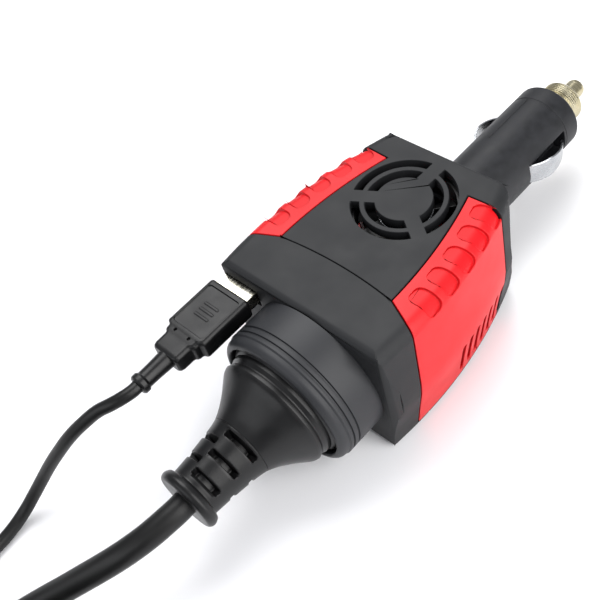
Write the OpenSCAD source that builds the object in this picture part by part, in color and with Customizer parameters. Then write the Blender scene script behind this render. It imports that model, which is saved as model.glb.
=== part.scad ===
// Plug-in power inverter: a palm-sized case with a 12 V vehicle plug on its back,
// a round mains socket and a USB port on its front, with both leads plugged in.
// Frame: +Z up, +Y towards the tip of the 12 V plug, origin on the floor halfway
// between the socket's rim and that tip.

/* [Case] */
// Length of the case along Y
case_l = 61; // [56:1:66]
// Height of the case
case_h = 43; // [40:0.5:46]
// Widest half-width of the case
case_half_w = 29.9; // [28:0.1:32]
// Distance from the front face to the widest place
widest_at = 16; // [12:1:20]
// Radius of the long arc that each side follows, seen from above
side_arc_r = 140; // [120:5:170]
// Wall of the case, grips included
wall = 3; // [2.8:0.1:3.4]
// Height of the parting line and of the 12 V plug's axis
mid_z = 20.8; // [20:0.1:22]
// Depth of the front cap at its middle
cap_depth = 16.6; // [15:0.1:18]

/* [Side grips] */
// Width of a grip on top of the case
grip_top_w = 10.9; // [9:0.1:12]
// Thickness of a grip
grip_t = 1.3; // [1:0.1:1.5]
// Shadow gap around a grip
grip_gap = 0.35; // [0.2:0.05:0.5]
// Finger pockets in each grip
pocket_count = 5; // [3:1:5]
// Spacing of the finger pockets
pocket_pitch = 7.8; // [7:0.1:8]
// Vent slots in each grip
louvre_count = 7; // [4:1:7]
// Spacing of the vent slots
louvre_pitch = 3.55; // [3.2:0.05:3.6]

/* [Fan] */
// Outer radius of the grille's slots
grille_r = 14.2; // [13:0.1:14.5]
// Distance from the front face to the fan's axis
fan_from_front = 43; // [42:0.5:44]
// Side of the square fan frame
fan_side = 30; // [29:0.5:30]

/* [Mains socket] */
// Outer radius of the socket's collar
collar_r = 20.9; // [20.5:0.1:21]
// How far the collar stands in front of the case
collar_l = 15; // [13:0.5:17]
// Radius of the recess that takes a plug
recess_r = 18.2; // [18.1:0.1:18.5]
// Depth of the recess
recess_d = 17.5; // [17:0.5:18]
// Distance of the socket's axis from the mid-plane
socket_x = 4.2; // [4:0.1:4.6]
// Height of the socket's axis
socket_z = 22; // [21.6:0.1:22]
// Distance between the two pins
pin_pitch = 19; // [19:0.1:19.2]
// Radius of a pin
pin_r = 2.4; // [2:0.1:2.4]

/* [USB port] */
// Distance of the port's axis to the left of the mid-plane
usb_x = 21; // [20.8:0.1:21.2]
// Height of the port's axis
usb_z = 35.6; // [35.2:0.1:36]

/* [12 V plug] */
// Outer radius of the barrel
barrel_r = 10.4; // [10.2:0.1:10.5]
// Length of the barrel behind the case
barrel_l = 48; // [46:0.5:50]
// Length of the metal nose with its contact
nose_l = 16; // [14:0.5:17]

/* [Leads] */
// Diameter of the mains cord
mains_d = 6.8; // [6:0.1:7]
// Diameter of the USB cord
usb_d = 3.6; // [3:0.1:4]
// Turns side by side in each coil
coil_columns = 2; // [2:1:2]
// Layers of turns in the mains coil
mains_layers = 3; // [3:1:3]
// Layers of turns in the USB coil
usb_layers = 3; // [3:1:3]

/* [Hidden] */
$fn = 72;

half_l = (collar_l + case_l + barrel_l + nose_l) / 2;
face_y = collar_l - half_l;
back_y = face_y + case_l;
rim_y = -half_l;
barrel_end_y = back_y + barrel_l;
wide_y = face_y + widest_at;
cap_y = face_y + cap_depth;
fan_y = face_y + fan_from_front;
arc_x = side_arc_r - case_half_w;
eps = 0.01;
abs_black = [0.24, 0.24, 0.25];
grip_red = [0.88, 0.25, 0.27];
steel = [0.8, 0.81, 0.82];
brass = [0.85, 0.72, 0.4];
pvc_black = [0.13, 0.13, 0.14];

// Points of an arc from angle a0 to a1.
function arc(cx, cy, r, a0, a1, n = 8) =
    [for (i = [0:n]) let (a = a0 + (a1 - a0) * i / n) [cx + r * cos(a), cy + r * sin(a)]];

// Turns a profile of [radius, length] points about a line along +Y.
module turned_y(x, y, z) {
    translate([x, y, z]) rotate([-90, 0, 0]) rotate_extrude() children();
}

// A rod along +Y.
module rod_y(x, y, z, r, l) {
    translate([x, y, z]) rotate([-90, 0, 0]) cylinder(r = r, h = l);
}

// A box given by its lowest and highest corners.
module box(low, high) {
    translate(low) cube(high - low);
}

// A flat box with rounded corners in XZ, extruded along +Y from y0 to y1.
module rounded_xz(x, z, w, h, r, y0, y1) {
    translate([x, y1, z]) rotate([90, 0, 0]) linear_extrude(y1 - y0) {
        square([w - 2 * r, h], center = true);
        square([w, h - 2 * r], center = true);
        for (sx = [-1, 1], sz = [-1, 1])
            translate([sx * (w / 2 - r), sz * (h / 2 - r)]) circle(r = r, $fn = 32);
    }
}

// A tube swept along a route, one ring of sides points at each route point.
function unit(v) = v / norm(v);
function heading(p, i) = unit(p[min(i + 1, len(p) - 1)] - p[max(i - 1, 0)]);
function ring(c, t, r, sides) =
    let (u = unit(cross(t, abs(t[2]) > 0.9 ? [1, 0, 0] : [0, 0, 1])), v = cross(u, t))
    [for (k = [0:sides - 1]) let (a = 360 * k / sides) c + r * cos(a) * u + r * sin(a) * v];
module tube(p, r, sides = 8) {
    n = len(p);
    points = [for (i = [0:n - 1]) each ring(p[i], heading(p, i), r, sides)];
    walls = [
        for (i = [0:n - 2], k = [0:sides - 1])
            let (a = i * sides + k, b = i * sides + (k + 1) % sides)
            each [[a, b, b + sides], [a, b + sides, a + sides]]
    ];
    start = [for (k = [1:sides - 2]) [0, k + 1, k]];
    last = (n - 1) * sides;
    end = [for (k = [1:sides - 2]) [last, last + k, last + k + 1]];
    polyhedron(points = points, faces = concat(walls, start, end));
}

// ---------- Case ----------
bulge = 1.2;      // how far the sides stand out at the parting line
bottom_in = 3.2;  // how far the sides draw in towards the bottom edge
shoulder_r = 4;   // rounding along the top of each side
keel_r = 2;       // rounding along the bottom of each side
front_r = 3;      // rounding of the front corners
back_r = 5;       // rounding of the back corners
front_edge_r = 2.4;  // rounding of the front face's top and bottom edges
back_edge_r = 0.9;   // rounding of the back face's top and bottom edges

// Half of the case's cross-section, as distances from a side's arc centre.
module side_profile(inset) {
    r = side_arc_r - inset;
    top = case_h - inset;
    polygon(concat(
        [[0, inset]],
        arc(r - bottom_in - keel_r, inset + keel_r, keel_r, -90, -12, 5),
        [[r - 1.9, mid_z * 0.45], [r - 0.3, mid_z * 0.85], [r, mid_z + 1], [r - 0.3, mid_z * 1.3]],
        arc(r - bulge - shoulder_r, top - shoulder_r, shoulder_r, 8, 90, 7),
        [[0, top]]
    ));
}

// One side of the case as a turned lens, with the far side cut away by its twin.
module lens(side, inset) {
    translate([-side * arc_x, wide_y, 0])
        rotate_extrude($fn = 240) side_profile(inset);
}

// Solid shape of the whole case, drawn in by inset on every face.
module case_form(inset) {
    intersection() {
        lens(1, inset);
        lens(-1, inset);
        end_trim(inset);
        corner_trim(inset);
    }
}

// Side outline that rounds the top and bottom edges of the two end faces.
module end_trim(inset) {
    front = max(front_edge_r - inset, 0.2);
    back = max(back_edge_r - inset, 0.2);
    y0 = face_y + inset;
    y1 = back_y - inset;
    top = case_h - inset;
    rotate([90, 0, 90]) translate([0, 0, -40]) linear_extrude(80) polygon(concat(
        arc(y0 + front, inset + front, front, 180, 270, 5),
        arc(y1 - back, inset + back, back, 270, 360, 4),
        arc(y1 - back, top - back, back, 0, 90, 4),
        arc(y0 + front, top - front, front, 90, 180, 5)
    ));
}

// Half-width of the case at a distance from the front face.
function half_w(y) = sqrt(side_arc_r ^ 2 - (y - wide_y) ^ 2) - arc_x;

// Plan that rounds the four upright corners.
module corner_trim(inset) {
    linear_extrude(case_h) difference() {
        square([80, 200], center = true);
        for (side = [-1, 1]) {
            upright_corner(side * (half_w(face_y) - inset), face_y + inset, side, 1, front_r);
            upright_corner(side * (half_w(back_y) - inset), back_y - inset, side, -1, back_r);
        }
    }
}

module upright_corner(x, y, side, way, r) {
    difference() {
        translate([x - (side > 0 ? r : 3), y - (way > 0 ? 3 : r)]) square(r + 3);
        translate([x - side * r, y + way * r]) circle(r = r, $fn = 48);
    }
}

// Everything in front of the cap's bowed back edge.
module cap_zone(gap) {
    bow_r = 129;
    translate([0, cap_y - bow_r, -1]) cylinder(r = bow_r - gap, h = case_h + 2, $fn = 240);
}

// Room that one grip takes, grown by gap.
module grip_zone(side, gap) {
    front_lean = 3.5;
    back_lean = 5;
    foot = grip_t + 0.1 + grip_gap;
    mirror([side > 0 ? 0 : 1, 0, 0]) difference() {
        translate([-arc_x, wide_y, 0]) difference() {
            translate([0, 0, foot - gap]) cylinder(r = side_arc_r + 4, h = case_h, $fn = 240);
            translate([0, 0, -1])
                cylinder(r = side_arc_r - grip_top_w - gap, h = case_h + 4, $fn = 240);
        }
        box([-400, -200, -5], [0, 200, 60]);
        translate([0, face_y + 15.4 - gap, case_h]) rotate([-front_lean, 0, 0])
            translate([0, 0, -60]) linear_extrude(80)
                polygon([[0, -70], [0, 8.6], [19, 0], [26, -3.2], [33, -5.2], [60, -6], [60, -70]]);
        translate([0, face_y + 52.7 + gap, case_h]) rotate([-back_lean, 0, 0])
            translate([0, 0, -60]) linear_extrude(80)
                polygon([[0, 70], [0, -1], [20, 0], [60, 2], [60, 70]]);
    }
}

// The vent slots of one side, cut straight through the wall.
module louvres(side, w) {
    slot_low = 4.6;
    slot_h = 12.6;
    first = face_y + 28.2;
    for (i = [0:louvre_count - 1]) translate([side * 24, first + i * louvre_pitch, slot_low])
        rotate([0, 90, 0]) translate([0, 0, -10]) linear_extrude(20) {
            translate([-slot_h + w / 2, -w / 2]) square([slot_h - w, w]);
            for (e = [-slot_h + w / 2, -w / 2]) translate([e, 0]) circle(d = w, $fn = 24);
        }
}

// The finger pockets, which wrap over one shoulder at an even depth.
module finger_pockets(side) {
    depth = 0.65;
    inner = -5.1;
    outer = 2.1;
    first = 20.3 - widest_at;
    difference() {
        mirror([side > 0 ? 0 : 1, 0, 0]) translate([-arc_x, wide_y, 0])
            for (i = [0:pocket_count - 1])
                rotate([0, 0, (first + i * pocket_pitch) / side_arc_r * 180 / PI])
                    translate([side_arc_r - bulge - shoulder_r, 0, case_h - shoulder_r])
                        rotate([0, 45, 0]) rounded_bar((inner + outer) / 2, outer - inner, 5.2, 1.7, 12);
        case_form(depth);
    }
}

// A bar of height h on a rounded rectangle that is l long in X and w wide in Y.
module rounded_bar(x, l, w, r, h) {
    translate([x, 0, 0]) linear_extrude(h) {
        square([l - 2 * r, w], center = true);
        square([l, w - 2 * r], center = true);
        for (sx = [-1, 1], sy = [-1, 1])
            translate([sx * (l / 2 - r), sy * (w / 2 - r)]) circle(r = r, $fn = 24);
    }
}

module case_wall() {
    difference() {
        case_form(0);
        case_form(wall);
        grip_recess(1);
        grip_recess(-1);
        louvres(1, 1.9);
        louvres(-1, 1.9);
    }
}

module grip_recess(side) {
    intersection() {
        grip_zone(side, grip_gap);
        difference() {
            case_form(-1);
            case_form(grip_t + 0.1);
        }
    }
}

web_in = 0.73;    // the web between the two rings of slots, as shares of grille_r
web_out = 0.83;
disc_share = 0.545;
bridge_w = 4.2;   // the bridges that carry the rings

// Two rings of three curved slots over the fan.
module grille() {
    translate([0, fan_y, case_h - wall - 1]) linear_extrude(wall + 2) {
        slot_ring(disc_share * grille_r, web_in * grille_r);
        slot_ring(web_out * grille_r, grille_r);
    }
}

module slot_ring(r_in, r_out) {
    difference() {
        circle(r = r_out);
        circle(r = r_in);
        for (a = [-153, 88, -35]) rotate(a) translate([0, -bridge_w / 2]) square([20, bridge_w]);
    }
}

screw_spots = [[20.6, face_y + 20], [17.1, face_y + 52.4]];
post_top = 31;

// Room for the USB port in the walls around it.
module port_pocket() {
    rounded_xz(-usb_x, usb_z, 13.4, 6.1, 0.6, face_y - 1, port_y + port_l + 0.6);
}

module screw_sites() {
    for (side = [-1, 1], spot = screw_spots) translate([side * spot[0], spot[1], 0]) children();
}

module top_shell() {
    color(abs_black) difference() {
        intersection() {
            case_wall();
            box([-40, -80, mid_z], [40, 80, case_h + 1]);
        }
        cap_zone(-0.1);
        port_pocket();
        grille();
        rod_y(0, back_y - wall - 1, mid_z, barrel_r - 1.2, wall + 2);
    }
    color(abs_black) screw_sites() translate([0, 0, post_top]) difference() {
        cylinder(r = 2.2, h = case_h - wall - post_top + eps);
        translate([0, 0, -1]) cylinder(r = 1, h = 7);
    }
}

module bottom_shell() {
    color(abs_black) difference() {
        union() {
            intersection() {
                case_wall();
                box([-40, -80, -1], [40, 80, mid_z - 0.05]);
            }
            screw_sites() translate([0, 0, wall - eps]) cylinder(r = 2.2, h = post_top - wall - 0.1);
        }
        cap_zone(-0.1);
        rod_y(0, back_y - wall - 1, mid_z, barrel_r - 1.2, wall + 2);
        screw_sites() {
            translate([0, 0, -1]) cylinder(r = 2.3, h = 3.4);
            translate([0, 0, -1]) cylinder(r = 1.3, h = 40);
        }
    }
}

module front_cap() {
    color(abs_black) difference() {
        intersection() {
            case_wall();
            cap_zone(0.1);
        }
        rod_y(socket_x, face_y - 1, socket_z, collar_r - 0.9, wall + 2);
        port_pocket();
    }
}

module side_grip(side) {
    color(grip_red) difference() {
        intersection() {
            grip_zone(side, 0);
            difference() {
                case_form(0);
                case_form(grip_t);
            }
        }
        louvres(side, 1.6);
        finger_pockets(side);
        port_pocket();
    }
}
module side_grip_left() { side_grip(-1); }
module side_grip_right() { side_grip(1); }

module case_screws() {
    head_z = 2.3;
    color(steel) screw_sites() difference() {
        union() {
            translate([0, 0, head_z - 1.6]) cylinder(r = 2.1, h = 1.6);
            translate([0, 0, head_z - eps]) cylinder(r = 1, h = 33 - head_z);
        }
        for (a = [0, 90]) rotate(a) translate([-1.5, -0.25, head_z - 1.7]) cube([3, 0.5, 0.9]);
    }
}

// ---------- Mains socket ----------
groove_w = 0.7;
groove_d = 0.55;
insert_y = rim_y + recess_d;
insert_l = 22;

module socket_collar() {
    root = collar_l + wall + 1;
    color(abs_black) turned_y(socket_x, rim_y, socket_z) difference() {
        polygon(concat(
            [[recess_r, 0.4]],
            arc(collar_r - 2.4, 2, 2, -90, 0, 6),
            [[collar_r - 0.4, 2.8], [collar_r, 3], [collar_r, collar_l - 0.02],
             [collar_r - 1, collar_l - 0.02], [collar_r - 1, root], [recess_r, root]]
        ));
        for (y = [3.9, 5.7]) translate([collar_r - groove_d, y]) square([2, groove_w]);
    }
}

module socket_insert() {
    r = recess_r - 0.05;
    color(abs_black) difference() {
        union() {
            rod_y(socket_x, insert_y, socket_z, r, 4);
            translate([socket_x - 14, insert_y + 3, socket_z - 7]) cube([28, insert_l - 3, 14]);
        }
        pin_places() {
            rod_y(0, insert_y - 1, 0, pin_r + 0.35, 3.2);
            rod_y(0, insert_y + 2, 0, pin_r + 1.3, insert_l);
        }
    }
}

module pin_places() {
    for (s = [-1, 1]) translate([socket_x + s * pin_pitch / 2, 0, socket_z]) children();
}

module socket_contacts() {
    color(brass) pin_places() difference() {
        rod_y(0, insert_y + 3, 0, pin_r + 1, insert_l - 3);
        rod_y(0, insert_y + 2.9, 0, pin_r + 0.3, insert_l - 4.9);
        box([-0.4, insert_y + 2, -5], [0.4, insert_y + 12, 5]);
    }
}

module socket_leads() {
    r = 0.9;
    color([0.45, 0.2, 0.12]) for (s = [-1, 1]) {
        x = socket_x + s * pin_pitch / 2;
        tube([
            [x, insert_y + insert_l, socket_z], [x, insert_y + insert_l + 1, socket_z],
            [x, insert_y + insert_l + 2, socket_z - 2], [x, insert_y + insert_l + 2, socket_z - 6],
            [x, insert_y + insert_l + 2, board_z + board_t]
        ], r);
    }
}

// ---------- USB port ----------
port_y = face_y + 1.2;
port_l = 12;

module usb_port() {
    color(steel) difference() {
        rounded_xz(-usb_x, usb_z, 13.1, 5.8, 0.5, port_y, port_y + port_l);
        rounded_xz(-usb_x, usb_z, 12.5, 5.12, 0.3, port_y - 1, port_y + port_l - 1);
    }
}

module usb_tongue() {
    color([0.92, 0.92, 0.9])
        rounded_xz(-usb_x, usb_z + 1.1, 11, 1.4, 0.3, port_y + 1.5, port_y + port_l - 1);
    color(brass) for (i = [0:3])
        translate([-usb_x - 4.25 + i * 2.5, port_y + 2.5, usb_z + 0.24]) cube([1, 7.5, 0.18]);
}

module usb_board() {
    color([0.1, 0.35, 0.2])
        box([-usb_x - 3.4, port_y + 2.6, usb_z - 4.6], [-usb_x + 6.2, port_y + port_l + 1, usb_z - 3.1]);
}

// ---------- Electronics ----------
board_z = 5;
board_t = 1.6;
inside_y = insert_y + insert_l;
deck_z = board_z + board_t;

module main_board() {
    color([0.1, 0.35, 0.2]) box([-14.5, inside_y - 1, board_z], [14.5, back_y - wall - 1, deck_z]);
}

transformer_at = [-5, fan_y - 3];
module transformer_core() {
    color([0.2, 0.2, 0.21]) translate([transformer_at[0], transformer_at[1], deck_z]) difference() {
        box([-8, -4, 0], [8, 4, 17]);
        for (x = [-4.9, 2.9]) box([x, -5, 3], [x + 2, 5, 14]);
    }
}

module transformer_winding() {
    color([0.85, 0.75, 0.3]) translate([transformer_at[0], transformer_at[1], deck_z + 3.1])
        linear_extrude(10.8) difference() {
            square([9.6, 14], center = true);
            square([6, 8.2], center = true);
        }
}

module heatsink() {
    fins = 5;
    color([0.7, 0.71, 0.72]) translate([10, fan_y - 14, deck_z]) {
        cube([1.6, 20, 16]);
        for (i = [0:fins - 1]) translate([1.5, i * 4.6, 0]) cube([4, 1.2, 16]);
    }
}

module power_transistors() {
    color([0.12, 0.12, 0.13]) for (y = [-8, 1])
        translate([6.9, fan_y + y - 4, deck_z + 3]) cube([3, 8, 9]);
    color(steel) for (y = [-8, 1], k = [-1, 0, 1])
        translate([8.2, fan_y + y + k * 2.5 - 0.3, deck_z]) cube([0.6, 0.6, 3.1]);
}

module capacitors() {
    color([0.15, 0.2, 0.4]) {
        translate([-11.6, fan_y + 7, deck_z]) cylinder(d = 5, h = 11);
        translate([-3, fan_y + 7.6, deck_z]) cylinder(d = 6, h = 9);
        translate([3.4, fan_y + 7.6, deck_z]) cylinder(d = 5, h = 8);
    }
}

// ---------- Fan ----------
fan_top = case_h - wall - 0.6;
fan_h = 7;
rotor_r = 13;
hub_r = 7.6;

module fan_frame() {
    s = fan_side / 2;
    corner = 4;
    color([0.1, 0.1, 0.11]) translate([0, fan_y, fan_top - fan_h]) difference() {
        union() {
            difference() {
                linear_extrude(fan_h) {
                    square([2 * s, 2 * s - 2 * corner], center = true);
                    square([2 * s - 2 * corner, 2 * s], center = true);
                    for (x = [-1, 1], y = [-1, 1]) translate([x, y] * (s - corner)) circle(r = corner);
                }
                translate([0, 0, -1]) cylinder(r = s - 1.3, h = fan_h + 2);
            }
            for (a = [45:120:285]) rotate(a) box([0, -1.1, 0], [s - 0.8, 1.1, 1.2]);
            cylinder(r = hub_r - 1, h = 1.2);
            cylinder(r = 1.9, h = 4.4);
        }
        translate([0, 0, 1.5]) cylinder(r = 1.05, h = 9);
        for (a = [0:90:270]) rotate(a) translate([s - 2.6, s - 2.6, -1]) cylinder(r = 1.2, h = fan_h + 2);
    }
}

module fan_rotor() {
    blades = 7;
    z0 = fan_top - fan_h;
    color([0.16, 0.16, 0.17]) translate([0, fan_y, z0 + 2]) {
        difference() {
            cylinder(r = hub_r, h = fan_h - 2.6);
            translate([0, 0, -1]) cylinder(r = hub_r - 0.8, h = fan_h - 2.8);
        }
        cylinder(r = 1, h = fan_h - 3);
        for (i = [0:blades - 1]) rotate(i * 360 / blades) translate([hub_r - 0.4, 0, 2.2])
            rotate([34, 0, 0]) box([0, -3, -0.3], [rotor_r - hub_r, 3, 0.3]);
    }
}

// ---------- 12 V plug ----------
spring_back = 23.5;   // from the case's back face to the root of a spring window
spring_l = 16.5;
spring_w = 6.6;
nose_y = barrel_end_y;
flange = 2.6;         // of the barrel, behind the case's back wall
barrel_bore = 4.6;    // room for the fuse, its spring and the contact
window_x = 6.4;       // how deep a spring window reaches towards the axis
barrel_groove = [46.9, 47.5];   // groove behind the barrel's free end, from its flange

module plug_barrel() {
    color(abs_black) difference() {
        turned_y(0, back_y - wall - flange, mid_z) difference() {
            polygon(concat(
                [[0, 0], [barrel_r + 1, 0], [barrel_r + 1, flange - 0.1],
                 [barrel_r - 1.3, flange - 0.1], [barrel_r - 1.3, flange + wall + 0.05],
                 [barrel_r, flange + wall + 0.05]],
                arc(barrel_r - 1.2, flange + wall + barrel_l - 1.2, 1.2, 0, 90, 5),
                [[0, flange + wall + barrel_l]]
            ));
            translate([barrel_r - 0.4, barrel_groove[0]]) square([1, barrel_groove[1] - barrel_groove[0]]);
            translate([-1, -1]) square([barrel_bore + 1, 200]);
            translate([0, flange + wall + barrel_l - 3.1]) square([6.2, 9]);
        }
        for (s = [-1, 1]) box(
            [s > 0 ? window_x : -barrel_r - 1, back_y + spring_back, mid_z - spring_w / 2 - 0.2],
            [s > 0 ? barrel_r + 1 : -window_x, back_y + spring_back + spring_l + 0.8,
             mid_z + spring_w / 2 + 0.2]
        );
    }
}

module nose_ring() {
    bore = stem_r + 0.08;
    color(brass) turned_y(0, nose_y, mid_z) polygon([
        [bore, -3], [6.1, -3], [6.1, 0.02], [8, 0.02], [8, 1.6], [7, 2.6], [6.6, 3],
        [6.6, 7.4], [5.6, 8.4], [bore, 8.4]
    ]);
}

stem_r = 3;
contact_back = nose_y - 4.6;
module centre_contact() {
    l = nose_y + nose_l - contact_back;
    color(steel) turned_y(0, contact_back, mid_z) polygon(concat(
        [[0, 0], [4.3, 0], [4.3, 1.2], [stem_r, 1.2]],
        arc(stem_r - 2.2, l - 2.2, 2.2, 0, 90, 6),
        [[0, l]]
    ));
}

fuse_l = 25;
fuse_back = contact_back - fuse_l;
module fuse() {
    cap = 5.5;
    color(steel) for (y = [fuse_back, fuse_back + fuse_l - cap]) rod_y(0, y, mid_z, 3.1, cap);
    color([0.9, 0.92, 0.93]) rod_y(0, fuse_back + cap, mid_z, 2.9, fuse_l - 2 * cap);
}

module contact_spring() {
    turns = 5;
    steps = 60;
    start = back_y + 1.6;
    color(steel) tube([
        for (i = [0:steps]) let (a = 360 * turns * i / steps)
            [3.2 * cos(a), start + (fuse_back - 0.6 - start) * i / steps, mid_z + 3.2 * sin(a)]
    ], 0.4, 6);
}

// A bowed strip that stands out of its window, curled round at its root.
spring_axis_x = 9;
spring_axis_y = back_y + spring_back + 0.7;
module earth_spring(side) {
    curl_r = 0.65;
    bow = 3.6;
    t = 0.6;
    rise = (spring_l ^ 2 / 4 + bow ^ 2) / (2 * bow);
    root = back_y + spring_back + 0.3;
    start = 9.6;
    lean = asin(spring_l / 2 / rise);
    outer = arc(start + bow - rise, root + spring_l / 2, rise, -lean, lean - 2, 12);
    inner = arc(start + bow - rise, root + spring_l / 2, rise - t, lean - 2, -lean, 12);
    color(steel) mirror([side > 0 ? 0 : 1, 0, 0]) translate([0, 0, mid_z - spring_w / 2]) {
        linear_extrude(spring_w) polygon(concat(outer, inner));
        translate([spring_axis_x, spring_axis_y, 0]) cylinder(r = curl_r, h = spring_w, $fn = 32);
    }
}
module earth_spring_left() { earth_spring(-1); }
module earth_spring_right() { earth_spring(1); }

module input_leads() {
    plate = back_y - wall - flange;
    lead_r = 1.1;
    drop_y = plate - 4;
    color([0.75, 0.1, 0.1]) tube([
        [0, back_y + 1, mid_z], [0, plate - 1, mid_z], [2.6, drop_y + 0.6, mid_z - 1.4],
        [6.4, drop_y, mid_z - 4.4], [8.6, drop_y, mid_z - 9.3], [9, drop_y, deck_z + 2.4],
        [9, drop_y, deck_z]
    ], lead_r);
    color(pvc_black) tube([
        [-7, plate, mid_z], [-7, plate - 1.2, mid_z], [-7.4, plate - 3, mid_z - 2],
        [-7.8, plate - 3.8, mid_z - 6], [-8, plate - 3.8, deck_z + 3], [-8, plate - 3.8, deck_z]
    ], lead_r);
}

// ---------- Mains lead ----------
neck_y = rim_y - 17;
relief_end = rim_y - 34.5;

module ac_plug_body() {
    plug_r = recess_r - 0.5;
    plug_face = insert_y - neck_y - 0.3;
    color(pvc_black) turned_y(socket_x, neck_y, socket_z) polygon(concat(
        [[0, 0], [8.6, 0], [9.1, 2], [10, 4.2], [11.4, 6.6], [13, 8.8], [14.7, 10.8], [15.9, 12.4],
         [16.4, 13.8], [15.9, 15], [16.4, 16], [16.5, 17.4], [plug_r, 18.4], [plug_r, plug_face - 0.6]],
        [[plug_r - 0.6, plug_face], [0, plug_face]]
    ));
}

module ac_plug_pins() {
    color(steel) pin_places() turned_y(0, insert_y - 0.3, 0) polygon(concat(
        [[0, 0], [pin_r, 0]],
        arc(pin_r - 1.4, 18.8 - 1.4, 1.4, 0, 90, 5),
        [[0, 18.8]]
    ));
}

module ac_strain_relief() {
    l = neck_y - relief_end;
    bead_r = 9;
    color(pvc_black) difference() {
        turned_y(socket_x, relief_end, socket_z) polygon(concat(
            [[0, 0], [bead_r - 1.6, 0]],
            arc(bead_r - 1.6, 1.6, 1.6, -90, 90, 8),
            [[7.1, 3.4], [7.6, 9], [8.6, l], [0, l]]
        ));
        for (i = [0:2], a = [45, 225]) translate([socket_x, relief_end + 5.4 + i * 4.2, socket_z])
            rotate([-90, 0, 0]) rotate_extrude(start = a - 55, angle = 110)
                translate([5.4, 0]) square([4, 1.6]);
    }
}

// Route of the mains cord, from the strain relief to where its coil begins.
mains_start = [socket_x, relief_end, socket_z];
mains_coil_at = [14.6, -188];
mains_rings = 10;   // across the middle of the turns, in cord diameters
mains_route = [
    mains_start, [4.2, -107, 22], [3.8, -110.5, 21.8], [2.9, -115, 21.1], [1.4, -119.5, 20],
    [-0.6, -124, 18.6], [-3.2, -128.5, 16.7], [-6.2, -133, 14.4], [-9.4, -137.5, 11.8],
    [-12.6, -142, 9.4], [-15.5, -146.5, 7.3], [-17.9, -151, 5.7], [-19.8, -155.5, 4.6],
    [-21.2, -160, 3.8], [-22.2, -164.5, 3.4], [-22.8, -171, 3.4]
];
module mains_cord() {
    color(pvc_black) tube(mains_route, mains_d / 2, 10);
}

// The outer shape of a round coil whose turns lie a diameter apart.
module coil(at, d, mean_r, columns, layers) {
    color(pvc_black) translate([at[0], at[1], 0]) rotate_extrude()
        translate([mean_r - columns * d / 2, 0]) square([columns * d, layers * d]);
}
module mains_coil() {
    coil(mains_coil_at, mains_d, mains_rings * mains_d / 2, coil_columns, mains_layers);
}

// A strap around a coil's bundle of turns at an angle around the coil.
module tie(at, d, mean_r, columns, layers, angle) {
    t = 0.8;
    w = columns * d + 2 * t + 0.2;
    h = layers * d + t + 0.1;
    color([0.1, 0.1, 0.1]) translate([at[0], at[1], 0]) rotate(angle) difference() {
        box([mean_r - w / 2, -2, 0], [mean_r + w / 2, 2, h]);
        box([mean_r - w / 2 + t, -3, -1], [mean_r + w / 2 - t, 3, h - t]);
    }
}
module mains_tie() {
    tie(mains_coil_at, mains_d, mains_rings * mains_d / 2, coil_columns, mains_layers, -18);
}

module appliance_connector() {
    top = mains_layers * mains_d;
    at = [mains_coil_at[0] + 17.1, mains_coil_at[1] - 28.9, top];
    color(pvc_black) translate(at) rotate(-90) {
        rounded_xz(0, 4.9, 16, 9.6, 2, -4, 22);
        rounded_xz(0, 4.9, 10, 7.4, 2, -12, -4);
        rod_y(0, -20, 4.9, 3.9, 8);
    }
}

// ---------- USB lead ----------
usb_gap = 3.4;   // metal that shows between the case and the moulding
usb_grip_y = face_y - usb_gap;
usb_step_y = usb_grip_y - 16.5;
usb_tail_y = usb_grip_y - 24;
usb_relief_end = usb_tail_y - 10;

module usb_plug_shell() {
    l = usb_gap + 1.2 + 8.2;
    color(steel) difference() {
        rounded_xz(-usb_x, usb_z, 12, 4.5, 0.4, usb_grip_y, usb_grip_y + l);
        rounded_xz(-usb_x, usb_z - 0.9, 11.3, 2.1, 0.2, usb_grip_y + 1, usb_grip_y + l + 1);
        box([-usb_x - 5.7, usb_grip_y + 1, usb_z + 0.1], [-usb_x + 5.7, usb_grip_y + l + 1, usb_z + 2]);
    }
}

module usb_plug_insulator() {
    color([0.93, 0.93, 0.92])
        box([-usb_x - 5.6, usb_grip_y + 1, usb_z - 1.95], [-usb_x + 5.6, usb_grip_y + 12, usb_z - 0.1]);
}

module usb_plug_grip() {
    w = 14.4;
    h = 6.6;
    color(pvc_black) {
        rounded_xz(-usb_x, usb_z, w, h, 1.5, usb_step_y, usb_grip_y);
        rounded_xz(-usb_x, usb_z, 11.6, h, 1.5, usb_step_y - 2, usb_step_y);
        rounded_xz(-usb_x, usb_z, 9.6, h - 0.4, 1.5, usb_tail_y, usb_step_y - 2);
    }
}

module usb_strain_relief() {
    color(pvc_black) turned_y(-usb_x, usb_relief_end, usb_z) polygon([
        [0, 0], [2.4, 0], [2.9, 0.6], [2.9, 1.8], [2.4, 2.4], [2.7, 10], [0, 10]
    ]);
}

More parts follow.
